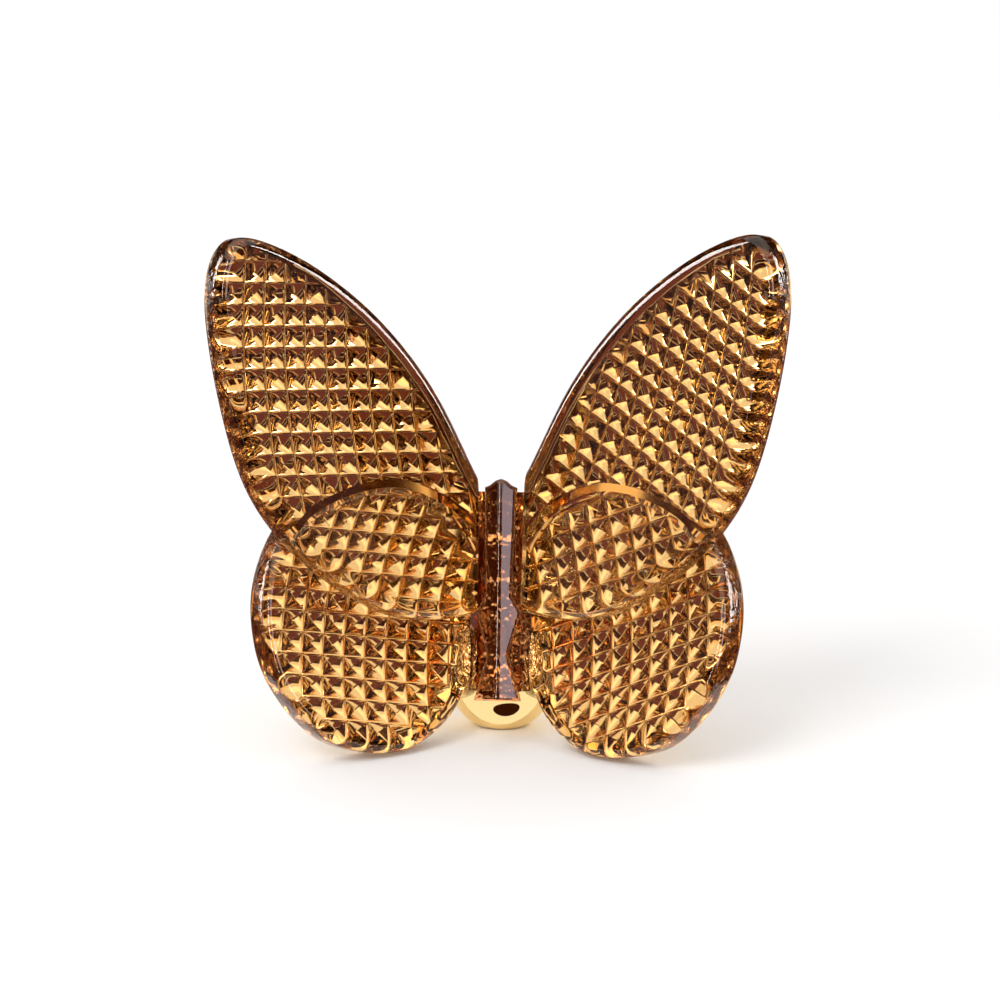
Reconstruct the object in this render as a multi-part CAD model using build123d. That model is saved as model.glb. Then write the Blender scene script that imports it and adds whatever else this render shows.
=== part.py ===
from build123d import *
import math
import os

os.makedirs("parts", exist_ok=True)

# Butterfly ornament in amber crystal with a gold lustre on the back.
# Millimetres. Front faces -Y, +X is the viewer's right, +Z is up.
# The origin is on the table, under the middle of the ornament's box.

# Wings
forewing_reach = 44.5
left_forewing_top = 67.4
right_forewing_top = 68.8
hindwing_reach = 33.3
hindwing_top = 36.2
forewing_thickness = 5.0
hindwing_thickness = 5.0
cup_radius = 170.0
cup_centre_out = 20.0
cup_centre_up = 36.0
wing_opening_angle = 32.0
bond_clearance = 0.05

# Rounded rims
forewing_front_round = 2.0
forewing_back_round = 1.0
hindwing_front_round = 1.6
hindwing_back_round = 1.0

# Diamond points on the backs
forewing_field_margin = 1.7
hindwing_field_margin = 1.6
lens_field_margin = 0.8
point_pitch_along_row = 3.15
point_pitch_along_column = 2.85
point_height = 0.75
point_sink = 0.15

# Body
ridge_front = 5.0
ridge_rise = 0.8
ridge_slope_width = 3.2
ridge_back = 2.0
ridge_top = 36.9
ridge_brow = 36.65
ridge_temple = 36.05
ridge_shoulder = 35.75
ridge_knee = 21.4
ridge_swell = 19.2
ridge_waist = 13.5
ridge_foot = 7.4
ridge_brow_half = 0.7
ridge_temple_half = 1.4
ridge_shoulder_half = 2.1
ridge_knee_half = 1.75
ridge_swell_half = 2.95
ridge_waist_half = 1.4
ridge_foot_half = 3.1
spine_front = 3.0
spine_front_half = 2.9
spine_side = 5.0
spine_side_half = 5.0
spine_back = 8.6
spine_top = 35.2
spine_bottom = 8.6

# Rear foot and stance
lean_angle = 17.0
foot_half_width = 7.6
foot_half_depth = 6.0
foot_half_height = 8.0
foot_centre_back = 9.0
foot_grind = 1.0
wing_grind = 0.4

# Outlines as shares of reach and top, taken round each wing from its root
forewing_outline_shares = [
    (-0.030, 0.410), (0.030, 0.305), (0.190, 0.268), (0.393, 0.284), (0.640, 0.381),
    (0.816, 0.509), (0.928, 0.691), (0.998, 0.888), (0.966, 0.984), (0.865, 1.000),
    (0.652, 0.951), (0.427, 0.856), (0.238, 0.727), (0.088, 0.562)]
hindwing_outline_shares = [
    (0.000, 0.663), (0.111, 0.867), (0.264, 0.961), (0.435, 1.000), (0.646, 0.967),
    (0.853, 0.867), (0.973, 0.677), (1.000, 0.472), (0.937, 0.254), (0.751, 0.066),
    (0.526, 0.006), (0.330, 0.033), (0.156, 0.160), (0.045, 0.373)]

# Grid of each wing's points: row angle, then column angle at the bottom and at the top
left_forewing_grid = (-2.0, 66.0, 93.0)
right_forewing_grid = (-33.0, 57.0, 82.0)
left_hindwing_grid = (4.0, 72.0, 128.0)
right_hindwing_grid = (19.0, 80.0, 116.0)

# Depth of the blocks that cut and trim
block = forewing_reach + right_forewing_top
outline_samples = 96
inset_samples = 24


def outline_face(shares, reach, top):
    points = [Vector(across * reach, up * top) for across, up in shares]
    return Face(Wire([Edge.make_spline(points, periodic=True)]))


def inset_face(face, margin):
    wire = face.outer_wire()
    middle = face.center()
    points = []
    for k in range(inset_samples):
        point = wire.position_at(k / inset_samples)
        inward = Vector(0, 0, 1).cross(wire.tangent_at(k / inset_samples))
        if inward.dot(middle - point) < 0:
            inward = -inward
        points.append(point + inward * margin)
    return Face(Wire([Edge.make_spline(points, periodic=True)]))


def prism(face):
    return Pos(0, 0, -block) * extrude(face, amount=block + block, dir=(0, 0, 1))


def ball(radius):
    return Pos(cup_centre_out, cup_centre_up, cup_radius) * Rot(X=90) * Sphere(radius)


def depth_at(u, v, radius):
    run = (u - cup_centre_out) ** 2 + (v - cup_centre_up) ** 2
    return cup_radius - math.sqrt(radius ** 2 - run)


def rim_edge(plate, front):
    rims = [edge for edge in plate.edges() if edge.is_closed]
    rims.sort(key=lambda edge: edge.center(CenterOf.BOUNDING_BOX).Z)
    return rims[-1] if front else rims[0]


def wing_plate(face, front_radius, back_radius, front_round, back_round):
    plate = prism(face) & ball(back_radius)
    plate = plate - ball(front_radius)
    plate = fillet([rim_edge(plate, True)], radius=front_round)
    return fillet([rim_edge(plate, False)], radius=back_round)


def inside(polygon, u, v):
    hit = False
    last = polygon[-1]
    for point in polygon:
        if (point.Y > v) != (last.Y > v):
            cross = point.X + (v - point.Y) / (last.Y - point.Y) * (last.X - point.X)
            if u < cross:
                hit = not hit
        last = point
    return hit


def grid_node(i, j, rows, middle, grid):
    row_angle, low_angle, high_angle = grid
    u = middle.X + i * point_pitch_along_row * math.cos(math.radians(row_angle))
    v = middle.Y + i * point_pitch_along_row * math.sin(math.radians(row_angle))
    step = 1 if j > 0 else -1
    for k in range(0, j, step):
        share = (k + step / 2 + rows) / (2 * rows)
        angle = math.radians(low_angle + (high_angle - low_angle) * share)
        u += step * point_pitch_along_column * math.cos(angle)
        v += step * point_pitch_along_column * math.sin(angle)
    return u, v


def diamond_point_tool(face, grid, back_radius):
    # The air between and behind the points, as one closed faceted block
    wire = face.outer_wire()
    polygon = [wire.position_at(k / outline_samples) for k in range(outline_samples)]
    middle = face.bounding_box().center()
    size = face.bounding_box().size
    rows = math.ceil(size.Y / point_pitch_along_column / 2) + 3
    columns = math.ceil(size.X / point_pitch_along_row / 2) + rows
    cap = -block / 2
    apex_radius = back_radius - point_sink
    valley_radius = apex_radius - point_height
    nodes = {}
    for i in range(-columns, columns + 1):
        for j in range(-rows, rows + 1):
            nodes[i, j] = grid_node(i, j, rows, middle, grid)
    faces = []
    border = {}
    for i in range(-columns, columns):
        for j in range(-rows, rows):
            ring = [(i, j), (i + 1, j), (i + 1, j + 1), (i, j + 1)]
            u = sum(nodes[key][0] for key in ring) / 4
            v = sum(nodes[key][1] for key in ring) / 4
            if not inside(polygon, u, v):
                continue
            apex = Vector(u, v, depth_at(u, v, apex_radius))
            for start, end in zip(ring, ring[1:] + ring[:1]):
                a = Vector(*nodes[start], depth_at(*nodes[start], valley_radius))
                b = Vector(*nodes[end], depth_at(*nodes[end], valley_radius))
                faces.append(Face(Wire.make_polygon([a, b, apex])))
                if border.get(end) and start in border[end]:
                    border[end].remove(start)
                else:
                    border.setdefault(start, []).append(end)
    start = next(key for key in border if border[key])
    loop = [start]
    while border[loop[-1]]:
        end = border[loop[-1]].pop()
        a = Vector(*nodes[loop[-1]], depth_at(*nodes[loop[-1]], valley_radius))
        b = Vector(*nodes[end], depth_at(*nodes[end], valley_radius))
        wall = [a, b, Vector(b.X, b.Y, cap), Vector(a.X, a.Y, cap)]
        faces.append(Face(Wire.make_polygon(wall)))
        if end == start:
            break
        loop.append(end)
    rim = [Vector(*nodes[key], cap) for key in loop]
    faces.append(Face(Wire.make_polygon(rim)))
    return Solid(Shell(faces))


hindwing_face = outline_face(hindwing_outline_shares, hindwing_reach, hindwing_top)
forewing_back = cup_radius + forewing_thickness
hindwing_front = forewing_back + bond_clearance
hindwing_back = hindwing_front + hindwing_thickness
wing_plane = Plane(
    origin=(0, 0, 0),
    x_dir=(math.cos(math.radians(wing_opening_angle)), -math.sin(math.radians(wing_opening_angle)), 0),
    z_dir=(-math.sin(math.radians(wing_opening_angle)), -math.cos(math.radians(wing_opening_angle)), 0))
right_half = Pos(block / 2, 0, 0) * Box(block, 4 * block, 4 * block)


def forewing(grid, top):
    face = outline_face(forewing_outline_shares, forewing_reach, top)
    plate = wing_plate(face, cup_radius, forewing_back, forewing_front_round, forewing_back_round)
    field = prism(inset_face(face, forewing_field_margin))
    lens = prism(inset_face(hindwing_face, -lens_field_margin))
    tool = diamond_point_tool(face, grid, forewing_back) & (field - lens)
    return wing_plane.location * (plate - tool)


def hindwing(grid):
    plate = wing_plate(hindwing_face, hindwing_front, hindwing_back, hindwing_front_round, hindwing_back_round)
    field = prism(inset_face(hindwing_face, hindwing_field_margin))
    tool = diamond_point_tool(hindwing_face, grid, hindwing_back) & field
    return wing_plane.location * (plate - tool)


def side_of(solid, cutters, left):
    shape = solid & right_half
    for cutter in cutters:
        shape = shape - cutter
    shape = shape.solids().sort_by(SortBy.VOLUME)[-1]
    return mirror(shape, about=Plane.YZ) if left else shape


# Body: a faceted ridge in front, on a spine that carries the four wings
ridge_half = [
    (0, ridge_top), (ridge_brow_half, ridge_brow), (ridge_temple_half, ridge_temple),
    (ridge_shoulder_half, ridge_shoulder),
    (ridge_knee_half, ridge_knee), (ridge_swell_half, ridge_swell), (ridge_waist_half, ridge_waist),
    (ridge_foot_half, ridge_foot)]
ridge_outline = [(x, 0, z) for x, z in ridge_half] + [(-x, 0, z) for x, z in reversed(ridge_half[1:])]
ridge_bar = extrude(Face(Wire.make_polygon(ridge_outline)), amount=block, dir=(0, 1, 0), both=True)
ridge_roof = [
    (0, -ridge_front - ridge_rise, 0), (ridge_slope_width, -ridge_front, 0), (ridge_slope_width, -ridge_back, 0),
    (-ridge_slope_width, -ridge_back, 0), (-ridge_slope_width, -ridge_front, 0)]
ridge = ridge_bar & extrude(Face(Wire.make_polygon(ridge_roof)), amount=block, dir=(0, 0, 1))
spine_section = Wire([
    Edge.make_line((-spine_side_half, spine_side, 0), (-spine_front_half, -spine_front, 0)),
    Edge.make_line((-spine_front_half, -spine_front, 0), (spine_front_half, -spine_front, 0)),
    Edge.make_line((spine_front_half, -spine_front, 0), (spine_side_half, spine_side, 0)),
    Edge.make_three_point_arc(
        (spine_side_half, spine_side, 0), (0, spine_back, 0), (-spine_side_half, spine_side, 0))])
spine = Pos(0, 0, spine_bottom) * extrude(Face(spine_section), amount=spine_top - spine_bottom, dir=(0, 0, 1))
body = (ridge + spine).solids()[0]

# Rear foot: a rounded boss round the tail of the body
foot_ball = scale(Sphere(1), by=(foot_half_width, foot_half_depth, foot_half_height))

lean = Rot(X=-lean_angle)
hindwing_shapes = {}
for side, grid in (("left", left_hindwing_grid), ("right", right_hindwing_grid)):
    hindwing_shapes[side] = lean * side_of(hindwing(grid), [body], side == "left")
forewing_shapes = {}
for side, grid, top in (
        ("left", left_forewing_grid, left_forewing_top), ("right", right_forewing_grid, right_forewing_top)):
    forewing_shapes[side] = lean * side_of(forewing(grid, top), [body], side == "left")
body = lean * body
table = hindwing_shapes["right"].bounding_box().min.Z + wing_grind
foot = Pos(0, foot_centre_back, table - foot_grind + foot_half_height) * foot_ball - body
above = Pos(0, 0, table + block) * Box(4 * block, 4 * block, 2 * block)

pieces = {
    "body": body & above,
    "rear_foot": foot & above,
    "left_forewing": forewing_shapes["left"],
    "right_forewing": forewing_shapes["right"],
    "left_hindwing": (hindwing_shapes["left"] - foot) & above,
    "right_hindwing": (hindwing_shapes["right"] - foot) & above}
box = Compound(list(pieces.values())).bounding_box()
to_origin = Pos(0, -box.center().Y, -table)
for name, piece in pieces.items():
    solid = piece.solids().sort_by(SortBy.VOLUME)[-1]
    export_step(to_origin * solid, "parts/" + name + ".step")
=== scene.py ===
import math
import bmesh
import bpy
from mathutils import Matrix, Vector


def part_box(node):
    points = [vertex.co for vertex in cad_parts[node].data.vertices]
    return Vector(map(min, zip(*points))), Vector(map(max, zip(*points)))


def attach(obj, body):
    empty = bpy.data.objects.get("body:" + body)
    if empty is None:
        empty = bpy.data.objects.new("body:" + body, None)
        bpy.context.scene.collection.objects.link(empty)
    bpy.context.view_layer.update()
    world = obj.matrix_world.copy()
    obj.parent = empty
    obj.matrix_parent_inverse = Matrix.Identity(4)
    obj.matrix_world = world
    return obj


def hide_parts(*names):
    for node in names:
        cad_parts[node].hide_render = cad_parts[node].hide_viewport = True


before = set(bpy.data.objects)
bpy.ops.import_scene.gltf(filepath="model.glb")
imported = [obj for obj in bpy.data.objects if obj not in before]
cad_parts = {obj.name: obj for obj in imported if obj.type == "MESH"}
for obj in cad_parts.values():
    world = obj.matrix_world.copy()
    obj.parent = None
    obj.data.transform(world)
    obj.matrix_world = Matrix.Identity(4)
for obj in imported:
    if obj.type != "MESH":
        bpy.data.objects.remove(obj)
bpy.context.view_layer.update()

# Wing sizes, in millimetres
MM = 0.001
forewing_reach = 44.5
left_forewing_top = 67.4
right_forewing_top = 68.8
hindwing_reach = 33.3
hindwing_top = 36.2
forewing_thickness = 5.0
hindwing_thickness = 5.0
cup_radius = 170.0
cup_centre_out = 20.0
cup_centre_up = 36.0
wing_opening = math.radians(32.0)
lean = math.radians(17.0)
bond_gap = 0.05
forewing_front_round = 2.0
forewing_back_round = 1.0
hindwing_front_round = 1.6
hindwing_back_round = 1.0
forewing_field_margin = 1.3
hindwing_field_margin = 0.7
lens_field_margin = 0.4
joint_margin = 0.7
point_pitch_along_row = 3.15
point_pitch_along_column = 2.85
point_height = 0.75
point_sink = 0.15
valley_round = 0.42
point_blunt = 0.28

# Body and foot sizes, in millimetres
ridge_front = 5.0
ridge_rise = 0.8
ridge_slope_width = 3.2
ridge_back = 2.0
ridge_outline = [
    (0.0, 36.9), (0.7, 36.65), (1.4, 36.05), (2.1, 35.75),
    (1.75, 21.4), (2.95, 19.2), (1.4, 13.5), (3.1, 7.4)]
spine_front = 3.0
spine_front_half = 2.9
spine_side = 5.0
spine_side_half = 5.0
spine_back = 8.6
spine_top = 35.2
spine_bottom = 8.6
body_edge = 0.4
foot_half_width = 7.6
foot_half_depth = 6.0
foot_half_height = 8.0
foot_centre_back = 9.0
foot_grind = 1.0

# Fineness of the meshes, and the limits that tell their faces apart
curve_steps = 11
front_round_steps = 7
back_round_steps = 5
spine_round_steps = 12
skin_cell = 2.2
fold_tolerance = 0.05
spare_rows = 3
point_blunt_segments = 2
valley_round_segments = 4
body_edge_segments = 3
foot_segments_round = 64
foot_segments_up = 40
smooth_limit = math.radians(32)
flat_limit = 0.999
roof_facing = 0.9
gold_facing = 0.35

# Outlines as shares of each wing's reach and top
forewing_outline_shares = [
    (-0.030, 0.410), (0.030, 0.305), (0.190, 0.268), (0.393, 0.284), (0.640, 0.381),
    (0.816, 0.509), (0.928, 0.691), (0.998, 0.888), (0.966, 0.984), (0.865, 1.000),
    (0.652, 0.951), (0.427, 0.856), (0.238, 0.727), (0.088, 0.562)]
hindwing_outline_shares = [
    (0.000, 0.663), (0.111, 0.867), (0.264, 0.961), (0.435, 1.000), (0.646, 0.967),
    (0.853, 0.867), (0.973, 0.677), (1.000, 0.472), (0.937, 0.254), (0.751, 0.066),
    (0.526, 0.006), (0.330, 0.033), (0.156, 0.160), (0.045, 0.373)]

# Angles of each grid of points in degrees: the rows, then the columns at the bottom and at the top
grids = {
    "left_forewing": (-2.0, 66.0, 93.0),
    "right_forewing": (-33.0, 57.0, 82.0),
    "left_hindwing": (4.0, 72.0, 128.0),
    "right_hindwing": (19.0, 80.0, 116.0)}

# Where the leaning butterfly stands in the shared frame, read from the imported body
body_low, body_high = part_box("body")
shift_y = body_high.y / MM - (spine_back * math.cos(lean) + spine_top * math.sin(lean))
shift_z = body_low.z / MM - (spine_bottom * math.cos(lean) - spine_back * math.sin(lean))

# Material slots while the meshes are made
front, back, joint, rim = range(4)
working_slots = [bpy.data.materials.new(n + "_work") for n in ("front", "back", "joint", "rim")]


def stand(x, y, z):
    """A point of the upright butterfly, leaned back and set on the table, in metres."""
    behind = y * math.cos(lean) + z * math.sin(lean) + shift_y
    up = z * math.cos(lean) - y * math.sin(lean) + shift_z
    return Vector((x * MM, behind * MM, up * MM))


def cup(point, side):
    """A point of a flat wing, its z counted from the front face, on the cupped and opened wing."""
    run = (point.x - cup_centre_out) ** 2 + (point.y - cup_centre_up) ** 2
    forward = cup_radius - math.sqrt((cup_radius - point.z) ** 2 - run)
    x = point.x * math.cos(wing_opening) - forward * math.sin(wing_opening)
    y = -point.x * math.sin(wing_opening) - forward * math.cos(wing_opening)
    return Vector((side * x, y, point.y))


def closed_curve(points, steps):
    """A smooth closed run of points through the given ones."""
    count = len(points)
    run = []
    for k in range(count):
        a, b, c, d = (Vector(points[(k + n) % count]) for n in (-1, 0, 1, 2))
        for s in range(steps):
            t = s / steps
            run.append(0.5 * (2 * b + (c - a) * t + (2 * a - 5 * b + 4 * c - d) * t * t
                              + (3 * b - a - 3 * c + d) * t ** 3))
    return run


def outline(shares, reach, top):
    """A wing's outline as a closed run of points."""
    return closed_curve([(u * reach, v * top) for u, v in shares], curve_steps)


def clear_of(points, place):
    """How far a place lies from the closed run."""
    nearest = float("inf")
    last = points[-1]
    for point in points:
        run = point - last
        share = min(1, max(0, (place - last).dot(run) / run.dot(run)))
        nearest = min(nearest, (last + run * share - place).length)
        last = point
    return nearest


def inset(points, margin):
    """The closed run moved inwards by margin, or outwards by a margin below zero."""
    area = sum(p.cross(q) for p, q in zip(points, points[1:] + points[:1]))
    turn = math.copysign(1.0, area)
    moved = []
    for k, p in enumerate(points):
        along = (points[(k + 1) % len(points)] - points[k - 1]).normalized()
        moved.append(p + Vector((-along.y, along.x)) * turn * margin)
    return [m for m in moved if clear_of(points, m) > abs(margin) - fold_tolerance]


def inside(points, u, v):
    """Whether a place lies within the closed run."""
    hit = False
    last = points[-1]
    for point in points:
        if (point.y > v) != (last.y > v):
            if u < point.x + (v - point.y) / (last.y - point.y) * (last.x - point.x):
                hit = not hit
        last = point
    return hit


def to_mesh(bm, name):
    """A mesh with the working slots. The bmesh is used up."""
    mesh = bpy.data.meshes.new(name)
    for m in working_slots:
        mesh.materials.append(m)
    bm.to_mesh(mesh)
    bm.free()
    return mesh


def marked(bm, slot):
    """The bmesh with all its faces in one slot."""
    for f in bm.faces:
        f.material_index = slot
    return bm


def extruded(points, low, high):
    """A closed prism over the flat run of points."""
    bm = bmesh.new()
    face = bm.faces.new([bm.verts.new((p.x, p.y, low)) for p in points])
    made = bmesh.ops.extrude_face_region(bm, geom=[face], use_keep_orig=True)
    top = [g for g in made["geom"] if isinstance(g, bmesh.types.BMVert)]
    bmesh.ops.translate(bm, verts=top, vec=(0, 0, high - low))
    bmesh.ops.recalc_face_normals(bm, faces=bm.faces)
    return bm


def rounded(bm, face, radius, steps):
    """A quarter round from the wall in to the face."""
    for k in range(steps):
        a = math.pi / 2 * k / steps
        b = math.pi / 2 * (k + 1) / steps
        bmesh.ops.inset_region(
            bm, faces=[face], thickness=radius * (math.cos(a) - math.cos(b)),
            depth=radius * (math.sin(b) - math.sin(a)), use_even_offset=True)


def gridded(bm, face):
    """Cuts one flat face into small cells, so that it can be cupped."""
    faces = [face]
    xs = [v.co.x for v in face.verts]
    ys = [v.co.y for v in face.verts]
    for axis, low, high in ((0, min(xs), max(xs)), (1, min(ys), max(ys))):
        count = int((high - low) / skin_cell)
        for k in range(1, count):
            where = Vector((0, 0, 0))
            where[axis] = low + (high - low) * k / count
            normal = Vector((0, 0, 0))
            normal[axis] = 1
            geom = set(faces)
            for f in faces:
                geom.update(f.edges)
                geom.update(f.verts)
            made = bmesh.ops.bisect_plane(bm, geom=list(geom), plane_co=where, plane_no=normal)
            faces = [g for g in made["geom"] if isinstance(g, bmesh.types.BMFace)]


def plate(points, thickness, front_round, back_round):
    """A flat wing with rounded rims, its front face at z = 0."""
    bm = extruded(points, back_round - thickness, -front_round)
    ends = sorted(bm.faces, key=lambda f: f.calc_center_median().z)
    rounded(bm, ends[-1], front_round, front_round_steps)
    rounded(bm, ends[0], back_round, back_round_steps)
    gridded(bm, ends[-1])
    for f in bm.faces:
        depth = -f.calc_center_median().z
        if depth > thickness - back_round:
            f.material_index = back
        elif depth > front_round / 2:
            f.material_index = rim
        else:
            f.material_index = front
    return to_mesh(bm, "plate")


def evaluated(mesh, steps):
    """The mesh after a list of modifier steps, each a type and its settings."""
    work = bpy.data.objects.new("work", mesh)
    bpy.context.collection.objects.link(work)
    tools = []
    for kind, settings in steps:
        step = work.modifiers.new(kind, kind)
        for key, value in settings.items():
            if isinstance(value, bpy.types.Mesh):
                value = bpy.data.objects.new("tool", value)
                bpy.context.collection.objects.link(value)
                tools.append(value)
            setattr(step, key, value)
    graph = bpy.context.evaluated_depsgraph_get()
    result = bpy.data.meshes.new_from_object(work.evaluated_get(graph))
    for o in tools + [work]:
        bpy.data.objects.remove(o)
    return result


def boolean(operation, mesh):
    """A modifier step that joins, cuts or keeps by another mesh."""
    return ("BOOLEAN", {"operation": operation, "solver": "MANIFOLD", "object": mesh})


def heading(degrees):
    """The flat direction at an angle."""
    return Vector((math.cos(math.radians(degrees)), math.sin(math.radians(degrees))))


def bevelled(bm, geom, offset, affect, segments):
    """Rounds edges or corners."""
    bmesh.ops.bevel(
        bm, geom=geom, offset=offset, affect=affect, segments=segments, profile=0.5, material=-1,
        clamp_overlap=affect == "EDGES")


def diamond_points(points, grid, thickness):
    """The air behind and between the diamond points, as one closed mesh."""
    row_angle, low_angle, high_angle = grid
    us = [p.x for p in points]
    vs = [p.y for p in points]
    centre = Vector(((min(us) + max(us)) / 2, (min(vs) + max(vs)) / 2))
    rows = math.ceil((max(vs) - min(vs)) / point_pitch_along_column / 2) + spare_rows
    columns = math.ceil((max(us) - min(us)) / point_pitch_along_row / 2) + rows
    bend = {0: Vector((0, 0))}
    for sign in (1, -1):
        for k in range(rows):
            share = (sign * (k + 0.5) + rows) / (2 * rows)
            step = heading(low_angle + (high_angle - low_angle) * share)
            bend[sign * (k + 1)] = bend[sign * k] + step * point_pitch_along_column * sign
    row = heading(row_angle) * point_pitch_along_row
    apex = point_sink - thickness
    valley = apex + point_height
    bm = bmesh.new()
    bmesh.ops.create_grid(bm, x_segments=2 * columns, y_segments=2 * rows, size=1)
    for v in bm.verts:
        flat = centre + row * round(v.co.x * columns) + bend[round(v.co.y * rows)]
        v.co = (flat.x, flat.y, valley)
    far = []
    for f in bm.faces:
        c = f.calc_center_median()
        if not inside(points, c.x, c.y):
            far.append(f)
    bmesh.ops.delete(bm, geom=far, context="FACES")
    valleys = [e for e in bm.edges if len(e.link_faces) == 2]
    made = bmesh.ops.poke(bm, faces=bm.faces, offset=-point_height, center_mode="MEAN")
    bevelled(bm, made["verts"], point_blunt, "VERTICES", point_blunt_segments)
    bevelled(bm, valleys, valley_round, "EDGES", valley_round_segments)
    border = [e for e in bm.edges if e.is_boundary]
    wall = bmesh.ops.extrude_edge_only(bm, edges=border)
    for g in wall["geom"]:
        if isinstance(g, bmesh.types.BMVert):
            g.co.z = -3 * thickness
    bmesh.ops.holes_fill(bm, edges=[e for e in bm.edges if e.is_boundary], sides=0)
    bmesh.ops.recalc_face_normals(bm, faces=bm.faces)
    return to_mesh(marked(bm, back), "air")


def cut_plane(bm, where, normal):
    """Takes away what lies on the plane's normal side and closes the cut."""
    geom = list(bm.verts) + list(bm.edges) + list(bm.faces)
    made = bmesh.ops.bisect_plane(bm, geom=geom, plane_co=where, plane_no=normal, clear_outer=True)
    edges = [g for g in made["geom_cut"] if isinstance(g, bmesh.types.BMEdge)]
    bmesh.ops.holes_fill(bm, edges=edges, sides=0)


def cut_at_table(bm):
    """Takes away what lies below the table."""
    cut_plane(bm, Vector((0, 0, 0)), Vector((0, 0, -1)))


def foot_ball(grow):
    """The whole boss of the foot, in place, larger by grow on every side."""
    bm = bmesh.new()
    bmesh.ops.create_uvsphere(
        bm, u_segments=foot_segments_round, v_segments=foot_segments_up, radius=MM)
    half_sizes = (foot_half_width + grow, foot_half_depth + grow, foot_half_height + grow)
    bmesh.ops.scale(bm, verts=bm.verts, vec=half_sizes)
    centre = Vector((0, foot_centre_back + shift_y, foot_half_height - foot_grind))
    bmesh.ops.translate(bm, verts=bm.verts, vec=centre * MM)
    return bm


fore_tops = {"left_forewing": left_forewing_top, "right_forewing": right_forewing_top}
hind_points = outline(hindwing_outline_shares, hindwing_reach, hindwing_top)


def wing(name, side):
    """One wing, made flat with the tools reaching well past it, then cupped and stood up."""
    fore_name = name.replace("hind", "fore")
    fore = name == fore_name
    fore_points = outline(forewing_outline_shares, forewing_reach, fore_tops[fore_name])
    if fore:
        points, thick, start = fore_points, forewing_thickness, 0.0
        mesh = plate(points, thick, forewing_front_round, forewing_back_round)
        field = extruded(inset(points, forewing_field_margin), -2 * thick, 0)
        lens = extruded(inset(hind_points, -lens_field_margin), -4 * thick, thick)
        limits = [boolean("DIFFERENCE", to_mesh(lens, "lens"))]
        window = extruded(inset(hind_points, joint_margin), -3 * thick, bond_gap / 2 - thick)
    else:
        points, thick, start = hind_points, hindwing_thickness, forewing_thickness + bond_gap
        mesh = plate(points, thick, hindwing_front_round, hindwing_back_round)
        field = extruded(inset(points, hindwing_field_margin), -2 * thick, 0)
        limits = []
        window = extruded(inset(fore_points, forewing_back_round), -bond_gap / 2, thick)
    limits.insert(0, boolean("INTERSECT", to_mesh(field, "field")))
    air = evaluated(diamond_points(points, grids[name], thick), limits)
    window = to_mesh(marked(window, joint), "window")
    mesh = evaluated(mesh, [boolean("DIFFERENCE", air), boolean("DIFFERENCE", window)])
    for v in mesh.vertices:
        v.co = cup(v.co - Vector((0, 0, start)), side)
    bm = bmesh.new()
    bm.from_mesh(mesh)
    flank = Vector((spine_side_half - spine_front_half, spine_side + spine_front, 0))
    cut_plane(
        bm, Vector((side * (spine_side_half + bond_gap), spine_side, 0)),
        Vector((-side * flank.y, flank.x, 0)))
    for v in bm.verts:
        v.co = stand(*v.co)
    if not fore:
        cut_at_table(bm)
    bmesh.ops.recalc_face_normals(bm, faces=bm.faces)
    mesh = to_mesh(bm, name)
    if not fore:
        mesh = evaluated(mesh, [boolean("DIFFERENCE", to_mesh(foot_ball(bond_gap), "foot_room"))])
    return mesh


def spine_mesh(grow):
    """The upright spine, larger by grow on every side."""
    half = []
    for k in range(spine_round_steps + 1):
        a = math.pi / 2 * k / spine_round_steps
        half.append((
            (spine_side_half + grow) * math.cos(a),
            spine_side + (spine_back + grow - spine_side) * math.sin(a)))
    run = [(spine_front_half + grow, -spine_front - grow)] + half
    run += [(-x, y) for x, y in reversed(run[:-1])]
    return extruded([Vector(p) for p in run], spine_bottom - grow, spine_top + grow)


roof_slopes = [Vector((side * ridge_rise, -ridge_slope_width, 0)) for side in (1, -1)]


def body_mesh():
    """The ridge with its roof-shaped front, on the spine."""
    run = [Vector(p) for p in ridge_outline]
    run += [Vector((-x, z)) for x, z in reversed(ridge_outline[1:])]
    bm = extruded(run, ridge_back, ridge_front + ridge_rise)
    for v in bm.verts:
        v.co = (v.co.x, -v.co.z, v.co.y)
    for slope in roof_slopes:
        cut_plane(bm, Vector((0, -ridge_front - ridge_rise, 0)), slope)
    bmesh.ops.remove_doubles(bm, verts=bm.verts, dist=fold_tolerance)
    bmesh.ops.recalc_face_normals(bm, faces=bm.faces)
    roof = {f for f in bm.faces if f.normal.y < -roof_facing}
    edges = [e for e in bm.edges if roof.intersection(e.link_faces)]
    bevelled(bm, edges, body_edge, "EDGES", body_edge_segments)
    mesh = evaluated(to_mesh(spine_mesh(0), "spine"), [boolean("UNION", to_mesh(bm, "ridge"))])
    for v in mesh.vertices:
        v.co = stand(*v.co)
    return mesh


def foot_mesh():
    """The foot, with room for the spine and ground flat at the table."""
    ball = to_mesh(foot_ball(0), "ball")
    bm = spine_mesh(bond_gap)
    for v in bm.verts:
        v.co = stand(*v.co)
    mesh = evaluated(ball, [boolean("DIFFERENCE", to_mesh(bm, "spine"))])
    bm = bmesh.new()
    bm.from_mesh(mesh)
    cut_at_table(bm)
    bmesh.ops.recalc_face_normals(bm, faces=bm.faces)
    return to_mesh(bm, "rear_foot")


# Looks
crystal_ior = 1.55
glass_cloud_scale = 60.0
glass_roughness = 0.02
gold_cloud_scale = 90.0
ripple_height = 0.0004
ripple_strength = 0.35


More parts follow.
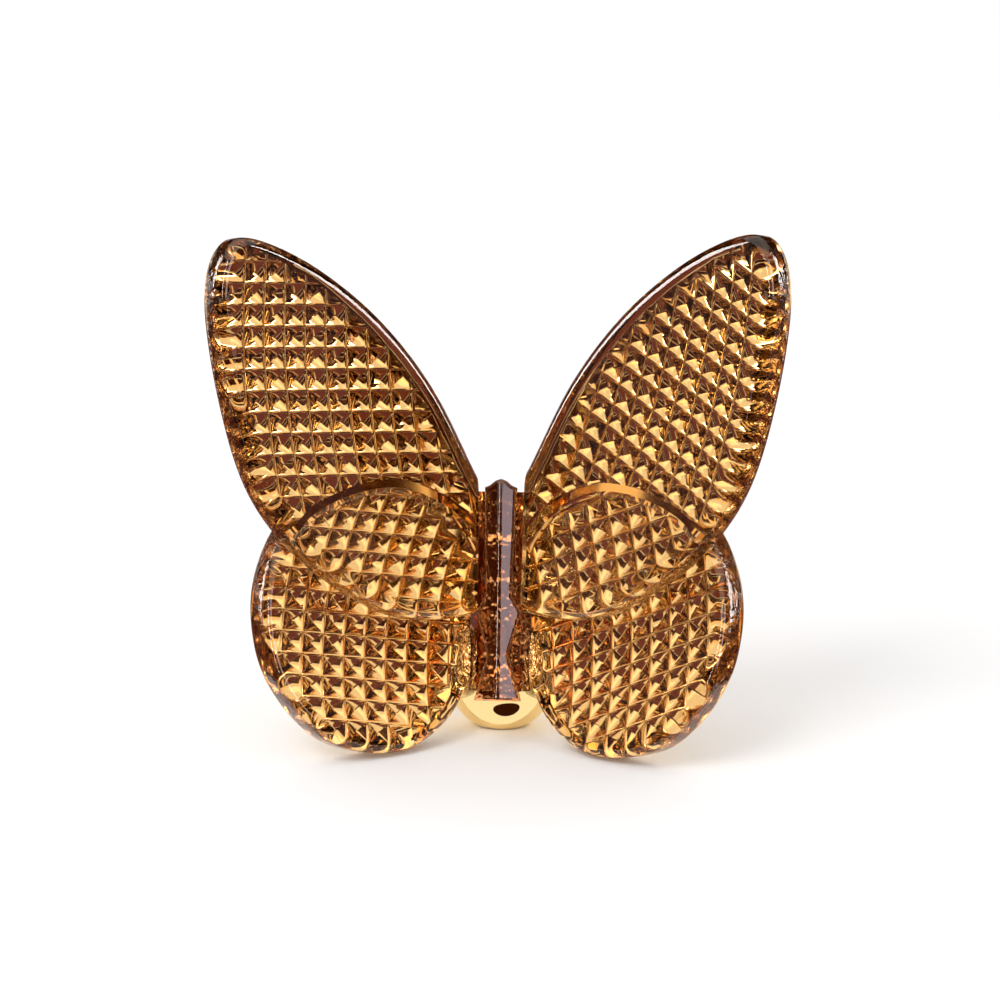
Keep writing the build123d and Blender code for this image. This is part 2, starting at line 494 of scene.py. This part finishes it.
class Socket:
    """A node output that sums and multiplies like a number."""

    def __init__(self, tree, out):
        self.tree = tree
        self.out = out

    def add(self, kind, inputs, output=0, **settings):
        node = self.tree.nodes.new(kind)
        for key, value in settings.items():
            setattr(node, key, value)
        for key, value in inputs.items():
            if isinstance(value, Socket):
                self.tree.links.new(value.out, node.inputs[key])
            else:
                node.inputs[key].default_value = value
        return Socket(self.tree, node.outputs[output])

    def math(self, operation, other):
        return self.add("ShaderNodeMath", {0: self, 1: other}, operation=operation)

    def __add__(self, other):
        return self.math("ADD", other)

    def __mul__(self, other):
        return self.math("MULTIPLY", other)

    __radd__ = __add__
    __rmul__ = __mul__

    def mix(self, a, b):
        return self.add(
            "ShaderNodeMix", {"Factor": self, 6: (*a, 1), 7: (*b, 1)}, output=2, data_type="RGBA")


def material(name):
    """A new material with its tree, its shader and the place on the object."""
    m = bpy.data.materials.new(name)
    m.use_nodes = True
    tree = m.node_tree
    shader = tree.nodes["Principled BSDF"]
    place = Socket(tree, tree.nodes.new("ShaderNodeTexCoord").outputs["Object"])
    return m, tree, shader, place


def noise(place, scale, detail):
    return place.add("ShaderNodeTexNoise", {"Vector": place, "Scale": scale, "Detail": detail})


def rippled(tree, shader, place, scale, strength):
    """Small waves in the surface."""
    wave = noise(place, scale, 2.0)
    bump = place.add(
        "ShaderNodeBump", {"Strength": strength, "Distance": ripple_height, "Height": wave})
    tree.links.new(bump.out, shader.inputs["Normal"])


def glass(name, light, deep, solid=None, ripple=None):
    """Crystal that drifts between two tints. With solid, it is nearly unseen."""
    m, tree, shader, place = material(name)
    cloud = noise(place, glass_cloud_scale, 2.0)
    tree.links.new(cloud.mix(light, deep).out, shader.inputs["Base Color"])
    tree.links.new((cloud * glass_roughness).out, shader.inputs["Roughness"])
    shader.inputs["Transmission Weight"].default_value = 1.0
    shader.inputs["IOR"].default_value = crystal_ior
    if solid:
        tree.links.new((cloud * solid).out, shader.inputs["Alpha"])
    if ripple:
        rippled(tree, shader, place, ripple, ripple_strength)
    return m


def lustre(name, light, deep, smooth=0.03, rough=0.09, ripple=None, strength=ripple_strength):
    """Gold that drifts between two tints and two degrees of polish."""
    m, tree, shader, place = material(name)
    cloud = noise(place, gold_cloud_scale, 3.0)
    tree.links.new(cloud.mix(light, deep).out, shader.inputs["Base Color"])
    tree.links.new((cloud * (rough - smooth) + smooth).out, shader.inputs["Roughness"])
    shader.inputs["Metallic"].default_value = 1.0
    if ripple:
        rippled(tree, shader, place, ripple, strength)
    return m


wing_glass = glass("amber_crystal", (1.0, 0.89, 0.70), (1.0, 0.86, 0.64))
# The body's crystal is a darker copy of the wings' crystal: painted shade for the body's deep amber look.
body_glass_painted_shade = glass("amber_crystal_body_painted_shade", (0.92, 0.66, 0.47), (0.82, 0.54, 0.36))
# The rims' crystal is a darker copy of the wings' crystal, with fine ripples: painted shade for the dark
# band that the rounded rims show.
rim_glass_painted_shade = glass("amber_crystal_rim_painted_shade", (0.74, 0.49, 0.27), (0.55, 0.33, 0.16), ripple=1400.0)
clear_joint = glass("clear_joint", (1.0, 0.97, 0.92), (1.0, 0.95, 0.90), solid=0.04)
gold = lustre("gold_lustre", (1.0, 0.74, 0.39), (0.97, 0.65, 0.30))
# The body's gold is a darker copy of the wings' gold: painted shade on the body.
body_gold_painted_shade = lustre(
    "deep_gold_lustre_painted_shade", (1.0, 0.66, 0.36), (0.90, 0.50, 0.24),
    smooth=0.04, rough=0.14, ripple=450.0, strength=0.75)
# The foot's gold is a paler copy of the wings' gold: painted light that brightens the foot.
foot_gold_painted_light = lustre("pale_gold_lustre_painted_light", (1.0, 0.80, 0.40), (1.0, 0.74, 0.33))


def dress(mesh, materials):
    """Puts the materials in the mesh's working slots and drops the slots left over."""
    while len(mesh.materials) > len(materials):
        mesh.materials.pop()
    for k, m in enumerate(materials):
        mesh.materials[k] = m


def piece(name, mesh, materials, flat=()):
    """A dressed piece in place of the plain one. Faces along the flat directions aren't smoothed."""
    dress(mesh, materials)
    mesh.set_sharp_from_angle(angle=smooth_limit)
    for p in mesh.polygons:
        p.use_smooth = max((p.normal.dot(n) for n in flat), default=0) < flat_limit
    o = bpy.data.objects.new(name + "_crystal", mesh)
    bpy.context.collection.objects.link(o)
    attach(o, "root")
    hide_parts(name)
    return o


# The wings' rims get the darker crystal, which is painted shade.
for name in grids:
    wing_side = -1 if name.startswith("left") else 1
    piece(name, wing(name, wing_side), [wing_glass, gold, clear_joint, rim_glass_painted_shade])

body = body_mesh()
for p in body.polygons:
    p.material_index = back if p.normal.y > gold_facing else front
roof_normals = []
for slope in roof_slopes:
    n = slope.normalized()
    roof_normals.append(Vector((n.x, n.y * math.cos(lean), -n.y * math.sin(lean))))
piece("body", body, [body_glass_painted_shade, body_gold_painted_shade], roof_normals)
piece("rear_foot", foot_mesh(), [foot_gold_painted_light])


# Studio
def stage_material(name, color, strength):
    """A plain colour that gives its own light."""
    m = bpy.data.materials.new(name)
    m.use_nodes = True
    tree = m.node_tree
    tree.nodes.remove(tree.nodes["Principled BSDF"])
    shine = tree.nodes.new("ShaderNodeEmission")
    shine.inputs["Color"].default_value = (*color, 1)
    shine.inputs["Strength"].default_value = strength
    tree.links.new(shine.outputs[0], tree.nodes["Material Output"].inputs["Surface"])
    return m


def card(name, centre, toward, width, height, m, corners=4):
    """A flat card of the studio that faces a place: an oblong, or an oval with many corners."""
    bm = bmesh.new()
    radius = 0.5 / math.cos(math.pi / corners)
    bmesh.ops.create_circle(bm, cap_ends=True, segments=corners, radius=radius)
    bmesh.ops.rotate(bm, verts=bm.verts, matrix=Matrix.Rotation(math.pi / corners, 3, "Z"))
    bmesh.ops.scale(bm, verts=bm.verts, vec=(width, height, 1))
    turn = (Vector(toward) - Vector(centre)).to_track_quat("Z", "Y").to_matrix().to_4x4()
    bmesh.ops.transform(bm, matrix=Matrix.Translation(centre) @ turn, verts=bm.verts)
    o = bpy.data.objects.new(name, to_mesh(bm, name))
    dress(o.data, [m])
    bpy.context.collection.objects.link(o)
    return o


pale = bpy.data.materials.new("pale_floor")
pale.use_nodes = True
pale.node_tree.nodes["Principled BSDF"].inputs["Base Color"].default_value = (0.9, 0.9, 0.9, 1)
pale.node_tree.nodes["Principled BSDF"].inputs["Roughness"].default_value = 0.9
card("floor", (0, 0, -0.0002), (0, 0, 1), 4, 4, pale)

dark = stage_material("dark_card", (0.035, 0.008, 0.002), 1.0)
plum = stage_material("plum_card", (0.14, 0.045, 0.045), 1.0)
soft = stage_material("soft_card", (1.0, 0.95, 0.88), 1.05)
amber = stage_material("amber_card", (1.0, 0.72, 0.45), 2.5)
haze = stage_material("haze_card", (0.20, 0.13, 0.14), 1.0)
streak = stage_material("streak_card", (1.0, 0.72, 0.42), 1.2)
warm = stage_material("warm_card", (1.0, 0.86, 0.78), 1.8)
glow = stage_material("glow_card", (1.0, 0.80, 0.86), 4.6)
strip = stage_material("strip_light", (1.0, 0.95, 0.93), 14.0)


def around(turn, rise, away):
    """A place round the ornament: degrees to the viewer's right of the front, degrees up, metres away."""
    turn, rise = math.radians(turn), math.radians(rise)
    out = Vector((math.sin(turn) * math.cos(rise), -math.cos(turn) * math.cos(rise), math.sin(rise)))
    return out * away


# Whether mirrored rays, and rays that pass through glass, see a card
by_both = (True, True)
by_mirrored = (True, False)
through_glass = (False, True)
middle = Vector((0, 0, 0.03))


def hidden(o, seen):
    """Keeps a card out of the picture and lets it show only in the ornament."""
    o.visible_camera = False
    o.visible_diffuse = False
    o.visible_shadow = False
    o.visible_glossy, o.visible_transmission = seen


def upright(name, turn, rise, away, width, height, m, seen=by_both):
    """A card that stands round the ornament and faces it."""
    hidden(card(name, around(turn, rise, away), middle, width, height, m), seen)


def upright_pair(name, turn, *rest):
    upright("right_" + name, turn, *rest)
    upright("left_" + name, -turn, *rest)


def lying(name, x, y, z, width, height, m, corners=4):
    """A card that lies just over the floor and faces up."""
    hidden(card(name, Vector((x, y, z)), Vector((x, y, 1)), width, height, m, corners), by_both)


def lying_pair(name, x, *rest):
    lying("right_" + name, x, *rest)
    lying("left_" + name, -x, *rest)


upright("front_flag", 0, 6, 1.4, 2.0, 1.1, dark)
upright_pair("flag", 57, 3, 1.2, 0.98, 0.78, dark)
upright_pair("strip", 92, 18, 1.2, 0.18, 0.8, strip)
upright_pair("top_box", 36, 48, 1.3, 0.48, 0.46, warm)
upright_pair("back_flag", 116, 14, 1.3, 0.9, 1.3, dark)
upright("back_flag", 180, 14, 1.4, 2.4, 1.3, dark)
lying("floor_flag", 0, -0.82, 0.004, 0.7, 1.4, dark)
lying("near_floor_flag", 0, -0.07, 0.001, 0.36, 0.1, plum)
lying_pair("floor_flag", 0.12, 0.03, 0.001, 0.15, 0.1, plum)
lying("rear_floor_flag", 0, 0.115, 0.0012, 0.4, 0.19, plum)
lying_pair("far_floor_flag", 0.65, -0.22, 0.002, 0.9, 0.7, haze)
upright_pair("streak", 46, 6, 1.15, 0.12, 0.7, streak, through_glass)
upright_pair("far_streak", 70, 6, 1.15, 0.1, 0.7, streak, through_glass)
upright_pair("across_streak", 50, 26, 1.15, 0.8, 0.12, streak, through_glass)
lying("foot_flag", 0.0015, -0.0025, 0.0008, 0.006, 0.004, dark, 48)
lying("foot_card", 0, -0.008, 0.0006, 0.02, 0.018, soft)
upright("head_box", 0, 44, 1.3, 0.7, 0.45, amber)
upright_pair("veil_flag", 47, 17, 1.1, 0.54, 1.0, dark, by_mirrored)
upright_pair("veil_haze", 74, 17, 1.1, 0.5, 1.0, haze, by_mirrored)
upright_pair("lead_strip", 103, 13, 1.15, 0.3, 0.5, strip, by_mirrored)
upright("body_box", 29, 17, 1.2, 0.5, 0.7, glow, by_mirrored)
upright("ridge_strip", -9, 17, 1.2, 0.08, 0.7, strip, by_mirrored)

world = bpy.data.worlds.new("studio")
bpy.context.scene.world = world
world.use_nodes = True
world.node_tree.nodes["Background"].inputs["Color"].default_value = (1, 1, 1, 1)
world.node_tree.nodes["Background"].inputs["Strength"].default_value = 1.0

key = bpy.data.lights.new("key", "AREA")
key.energy = 6.0
key.size = 0.6
key_object = bpy.data.objects.new("key", key)
key_object.location = (-0.5, -0.7, 0.9)
key_aim = middle - key_object.location
key_object.rotation_euler = key_aim.to_track_quat("-Z", "Y").to_euler()
key_object.visible_glossy = False
key_object.visible_transmission = False
bpy.context.collection.objects.link(key_object)

# Camera
azimuth = 3.0
elevation = 17.0
roll = math.radians(0.15)
distance = 0.7
aim = Vector((0, 0, 0.0329))
toward_viewer = around(azimuth, elevation, 1)
camera_data = bpy.data.cameras.new("camera")
camera_data.sensor_width = 36.0
camera_data.lens = 190.0
camera = bpy.data.objects.new("camera", camera_data)
camera.location = aim + toward_viewer * distance
level_view = (-toward_viewer).to_track_quat("-Z", "Y").to_matrix()
camera.rotation_euler = (level_view @ Matrix.Rotation(roll, 3, "Z")).to_euler()
bpy.context.collection.objects.link(camera)
bpy.context.scene.camera = camera
bpy.context.scene.view_settings.view_transform = "Standard"
